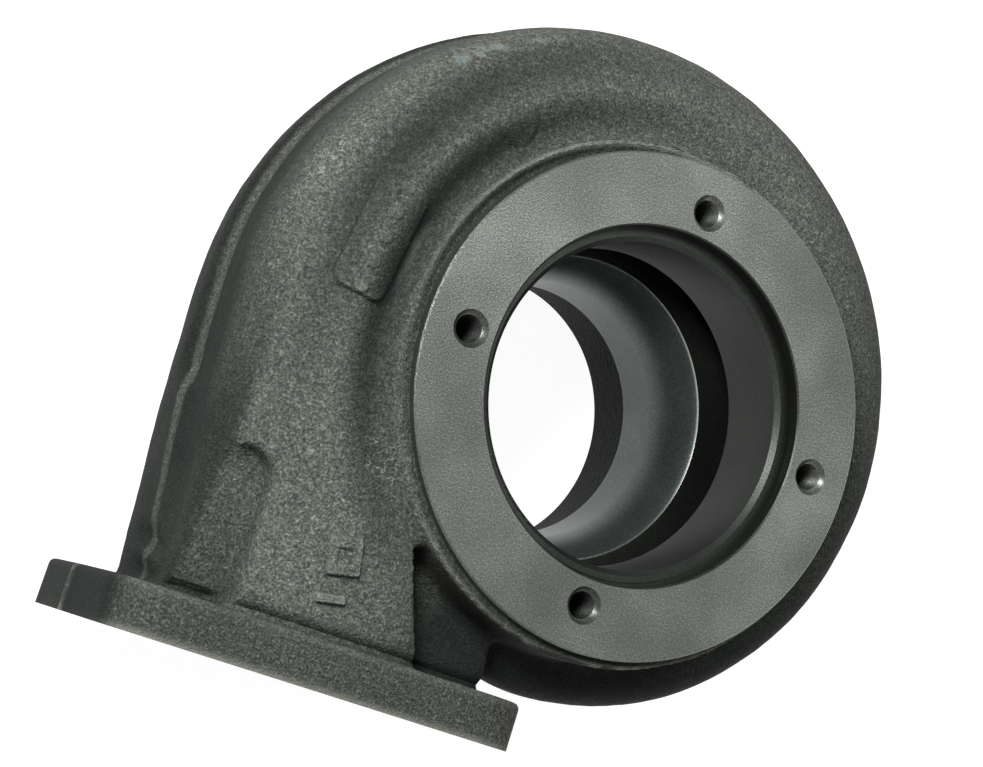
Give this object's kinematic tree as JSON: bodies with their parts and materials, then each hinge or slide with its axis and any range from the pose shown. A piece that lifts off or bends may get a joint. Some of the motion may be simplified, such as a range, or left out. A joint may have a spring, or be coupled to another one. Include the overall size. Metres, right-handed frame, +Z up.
{
  "type": "turbine housing",
  "caption": "Cast iron scroll housing for a turbocharger turbine, with a machined bearing face, wheel bore, rectangular inlet flange and round outlet ring.",
  "frame": {"origin": "centre of the wheel bore in the machined face for the bearing housing", "axes": "+Z up along the bore, out of the machined face; -Y towards the inlet flange; +X away from the neck"},
  "size_m": [0.1999, 0.1845, 0.095],
  "materials": {
    "cast_iron": "rough as-cast skin with finely turned faces and bores"
  },
  "bodies": {
    "root": {"turbine_housing": "cast_iron"}
  },
  "joints": []
}
